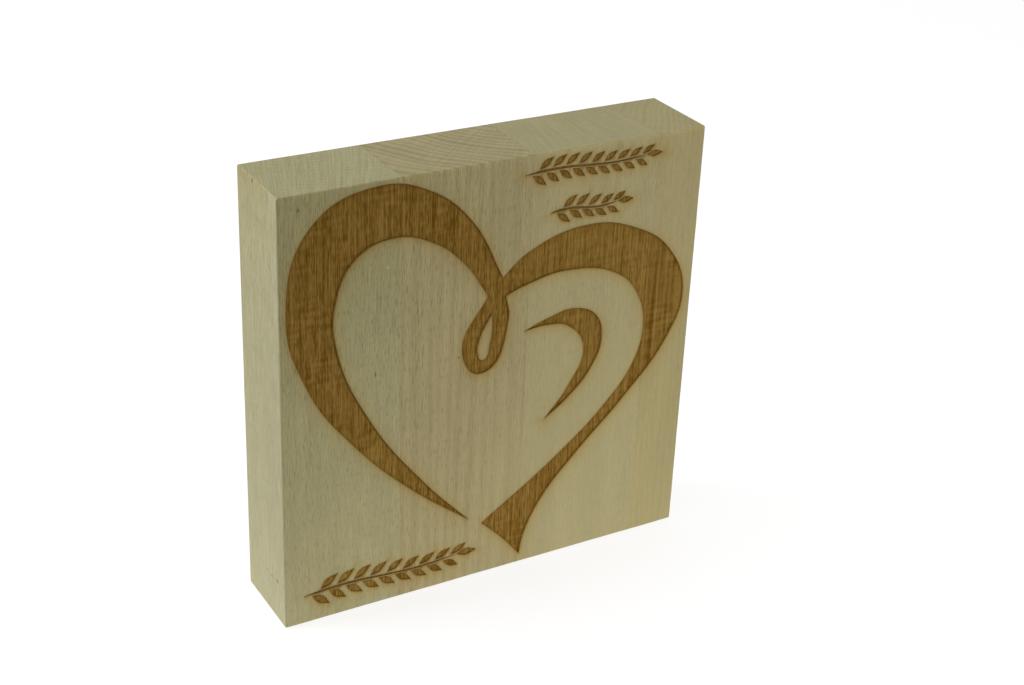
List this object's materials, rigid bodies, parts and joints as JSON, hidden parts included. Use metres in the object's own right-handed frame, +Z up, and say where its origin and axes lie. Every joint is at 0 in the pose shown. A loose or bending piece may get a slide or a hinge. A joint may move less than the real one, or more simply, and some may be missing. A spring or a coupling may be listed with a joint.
{
  "type": "wooden plaque",
  "caption": "Square free-standing plaque of upright beech staves glued edge to edge, with eased edges and a ribbon heart engraved across its front face.",
  "frame": {"origin": "centre of the bottom face, on the surface that the plaque stands on", "axes": "+Z up along the grain of the staves, -Y out of the engraved front face, +X to the right seen from the front"},
  "size_m": [0.15, 0.03, 0.15],
  "materials": {
    "beech": "bare sanded beech, scorched brown where it is engraved",
    "glue": "thin film of dried wood glue"
  },
  "bodies": {
    "root": {"stave_left": "beech", "stave_mid_left": "beech", "stave_mid_right": "beech", "stave_right": "beech", "glue_line_left": "glue", "glue_line_middle": "glue", "glue_line_right": "glue"}
  },
  "joints": []
}
